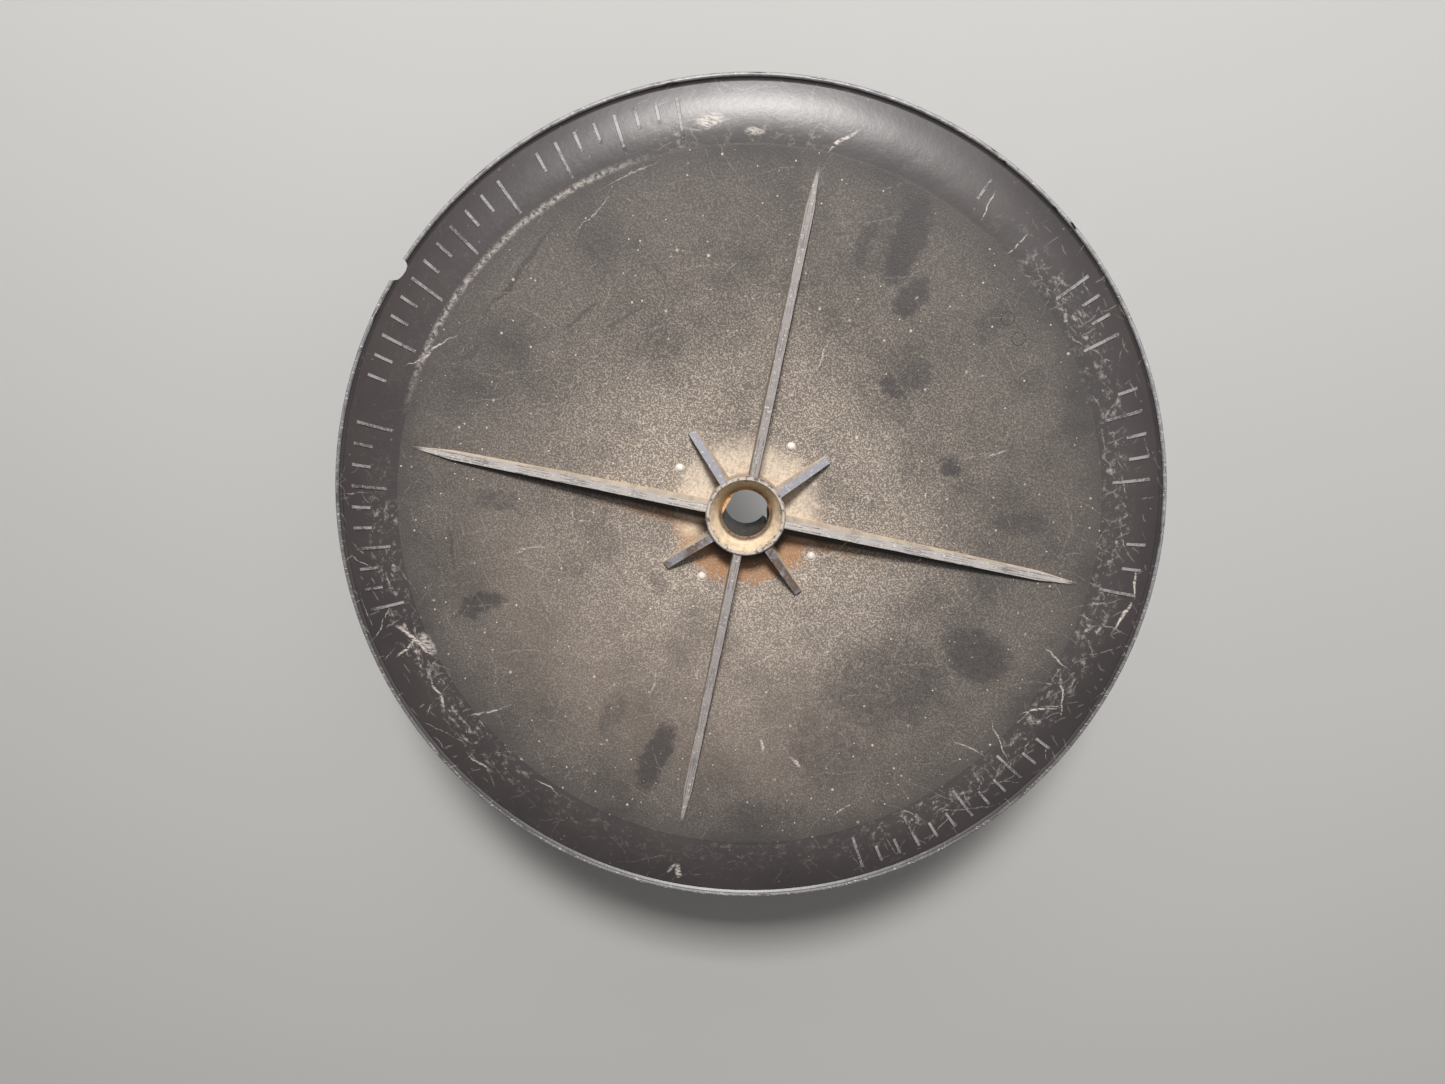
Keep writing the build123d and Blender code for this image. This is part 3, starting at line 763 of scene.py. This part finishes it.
def assign(node, material):
    """Gives a CAD node its finished material."""
    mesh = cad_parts[node].data
    if not mesh.materials:
        mesh.materials.append(material)
    for index in range(len(mesh.materials)):
        mesh.materials[index] = material


FINISHES = {
    "back_plate": PLATE,
    "hub": HUB,
    "inlet_ring": RING,
    "clamp_band": CLAMP,
    "clamp_screw": SCREW,
    "clamp_nut": SCREW,
}
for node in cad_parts:
    assign(node, FINISHES.get(node, BLADE))


# ---------------------------------------------------------------- small moulded details


def add_piece(name, points, faces, material, body):
    """A mesh piece in metres from points in mm, riding on a body."""
    mesh = bpy.data.meshes.new(name)
    mesh.from_pydata([tuple(v * MM for v in point) for point in points], [], faces)
    mesh.validate()
    mesh.update()
    mesh.materials.append(material)
    piece = bpy.data.objects.new(name, mesh)
    bpy.context.scene.collection.objects.link(piece)
    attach(piece, body)
    return piece


def polar(azimuth, radius, z):
    """Point at an azimuth in degrees, a radius and a height, both in mm."""
    angle = math.radians(azimuth)
    return (radius * math.cos(angle), radius * math.sin(angle), z)


def raised_bar(azimuth, inner_r, outer_r, width, height, points, faces):
    """One low bar with drafted sides, laid along a radius of the band and following its curve."""
    stations = 7
    start = len(points)
    half_foot = math.degrees((width / 2 + 0.1) / inner_r)
    half_top = math.degrees((width / 2) / inner_r)
    for index in range(stations):
        share = index / (stations - 1)
        radius = inner_r + (outer_r - inner_r) * share
        end_drop = 0.75 if index in (0, stations - 1) else 0.0
        foot_z = band_z(radius) - 0.15
        top_z = band_z(radius) + height * (1 - end_drop)
        points.append(polar(azimuth - half_foot, radius, foot_z))
        points.append(polar(azimuth - half_top, radius, top_z))
        points.append(polar(azimuth + half_top, radius, top_z))
        points.append(polar(azimuth + half_foot, radius, foot_z))
    for index in range(stations - 1):
        a = start + 4 * index
        b = a + 4
        for corner in range(4):
            after = (corner + 1) % 4
            faces.append((a + corner, b + corner, b + after, a + after))
    faces.append(tuple(start + corner for corner in range(4)))
    last = start + 4 * (stations - 1)
    faces.append(tuple(last + corner for corner in (3, 2, 1, 0)))


# Runs of plain graduation bars: first azimuth, last azimuth, number of bars
BAR_RUNS = [
    (111.0, 131.5, 8),
    (138.0, 171.0, 12),
    (178.0, 206.0, 10),
    (300.0, 334.0, 12),
    (0.0, 7.5, 3),
    (17.0, 30.0, 5),
    (38.0, 47.0, 4),
]
BAR_INNER_R = 96.6
BAR_OUTER_R = 106.6
SHORT_BAR_INNER_R = 101.2
BAR_WIDTH = 0.75
BAR_HEIGHT = 0.3


def graduation():
    """Raised graduation on the band, every third bar long."""
    points, faces = [], []
    for first, last, count in BAR_RUNS:
        for index in range(count):
            azimuth = first + (last - first) * index / (count - 1)
            inner = BAR_INNER_R if index % 3 == 0 else SHORT_BAR_INNER_R
            raised_bar(azimuth, inner, BAR_OUTER_R, BAR_WIDTH, BAR_HEIGHT, points, faces)
    raised_bar(65.9, 99.0, 105.0, BAR_WIDTH, BAR_HEIGHT, points, faces)
    return add_piece("rim_graduation", points, faces, BARS, "wheel")


def ring_mark(azimuth, radius, ring_r, points, faces):
    """Faint raised ring left by an ejector pin."""
    sides = 28
    start = len(points)
    centre = polar(azimuth, radius, 0.0)
    for index in range(sides):
        turn = 2 * math.pi * index / sides
        for offset, lift in ((-0.22, -0.1), (0.0, 0.12), (0.22, -0.1)):
            px = centre[0] + (ring_r + offset) * math.cos(turn)
            py = centre[1] + (ring_r + offset) * math.sin(turn)
            points.append((px, py, cone_z(math.hypot(px, py)) + lift))
    for index in range(sides):
        a = start + 3 * index
        b = start + 3 * ((index + 1) % sides)
        for corner in range(3):
            after = (corner + 1) % 3
            faces.append((a + corner, b + corner, b + after, a + after))


def ejector_marks():
    """Four faint rings on the dish, left by ejector pins."""
    points, faces = [], []
    for azimuth, radius in ((45.0, 84.0), (49.0, 84.5), (315.0, 47.0), (225.0, 84.0)):
        ring_mark(azimuth, radius, 1.7, points, faces)
    return add_piece("ejector_marks", points, faces, PLATE, "wheel")


def rim_burrs():
    """Ragged slivers of flash along the top of the rim lip, and a larger burr."""
    dice = random.Random(11)
    points, faces = [], []
    for _ in range(46):
        azimuth = dice.uniform(0, 360)
        if abs(azimuth - CHIP_ANGLE) < 4:
            continue
        length = dice.uniform(1.2, 5.0)
        height = dice.uniform(0.08, 0.26)
        radius = RADIUS_MM - dice.choice((0.38, 0.42, 0.9))
        burr(azimuth, radius, length, height, dice, points, faces)
    burr(53.6, RADIUS_MM - 0.5, 2.6, 1.0, dice, points, faces)
    return add_piece("rim_flash", points, faces, PLATE, "wheel")


def burr(azimuth, radius, length, height, dice, points, faces):
    """A thin upstanding sliver that follows the rim."""
    stations = 7
    start = len(points)
    span = math.degrees(length / radius)
    for index in range(stations):
        share = index / (stations - 1)
        rise = height * math.sin(math.pi * share) * dice.uniform(0.6, 1.0)
        at = azimuth + span * (share - 0.5)
        points.append(polar(at, radius - 0.12, LIP_TOP_Z - 0.08))
        points.append(polar(at, radius + dice.uniform(-0.04, 0.06), LIP_TOP_Z + rise))
        points.append(polar(at, radius + 0.12, LIP_TOP_Z - 0.08))
    for index in range(stations - 1):
        a = start + 3 * index
        b = a + 3
        for corner in range(3):
            after = (corner + 1) % 3
            faces.append((a + corner, b + corner, b + after, a + after))
    faces.append((start, start + 1, start + 2))
    last = start + 3 * (stations - 1)
    faces.append((last + 2, last + 1, last))


graduation()
ejector_marks()
rim_burrs()


# ---------------------------------------------------------------- stage, light and camera

floor_mesh = bpy.data.meshes.new("floor")
REACH = 4.0
corners = [(-REACH, -REACH, 0.0), (REACH, -REACH, 0.0), (REACH, REACH, 0.0), (-REACH, REACH, 0.0)]
floor_mesh.from_pydata(corners, [], [(0, 1, 2, 3)])
floor_mesh.materials.append(floor_material())
floor = bpy.data.objects.new("floor", floor_mesh)
bpy.context.scene.collection.objects.link(floor)

world = bpy.data.worlds.new("studio")
world.use_nodes = True
world.node_tree.nodes["Background"].inputs["Color"].default_value = (1.0, 0.985, 0.965, 1.0)
world.node_tree.nodes["Background"].inputs["Strength"].default_value = 0.19
bpy.context.scene.world = world
bpy.context.scene.view_settings.view_transform = "Standard"


def area_light(name, azimuth, elevation, distance, size, power, colour):
    """Soft light aimed at the wheel from an azimuth and an elevation."""
    lamp = bpy.data.lights.new(name, "AREA")
    lamp.shape = "RECTANGLE"
    lamp.size, lamp.size_y = size
    lamp.energy = power
    lamp.color = colour
    made = bpy.data.objects.new(name, lamp)
    bpy.context.scene.collection.objects.link(made)
    a, e = math.radians(azimuth), math.radians(elevation)
    away = Vector((math.cos(e) * math.cos(a), math.cos(e) * math.sin(a), math.sin(e)))
    made.location = away * distance + Vector((0, 0, TOP_MM * MM))
    made.rotation_euler = away.to_track_quat("Z", "Y").to_euler()


area_light("key", 100.0, 54.0, 1.1, (0.24, 0.18), 18.5, (1.0, 0.985, 0.965))
area_light("sky", 98.0, 34.0, 1.2, (1.2, 0.4), 4.0, (0.93, 0.96, 1.0))
area_light("fill", 30.0, 72.0, 1.3, (1.2, 1.2), 2.4, (1.0, 0.985, 0.97))

# The floor under the wheel, seen through the bore
under = bpy.data.lights.new("under", "AREA")
under.size = 0.03
under.energy = 0.04
under_lamp = bpy.data.objects.new("under", under)
under_lamp.location = (0.035, 0.02, 0.04)
bpy.context.scene.collection.objects.link(under_lamp)

camera_data = bpy.data.cameras.new("camera")
camera_data.sensor_width = 36.0
camera_data.lens = 23.67
camera_data.clip_start = 0.01
camera = bpy.data.objects.new("camera", camera_data)
bpy.context.scene.collection.objects.link(camera)
CAMERA_SPOT = Vector((-0.00629, 0.03675, 0.32309))
LOOK = Vector((0.00645, -0.17603, -0.98436)).normalized()
UP_HINT = Vector((-0.20142, 0.96398, -0.17371))
right = LOOK.cross(UP_HINT).normalized()
up = right.cross(LOOK).normalized()
camera.matrix_world = Matrix.Translation(CAMERA_SPOT) @ Matrix((right, up, -LOOK)).transposed().to_4x4()
bpy.context.scene.camera = camera
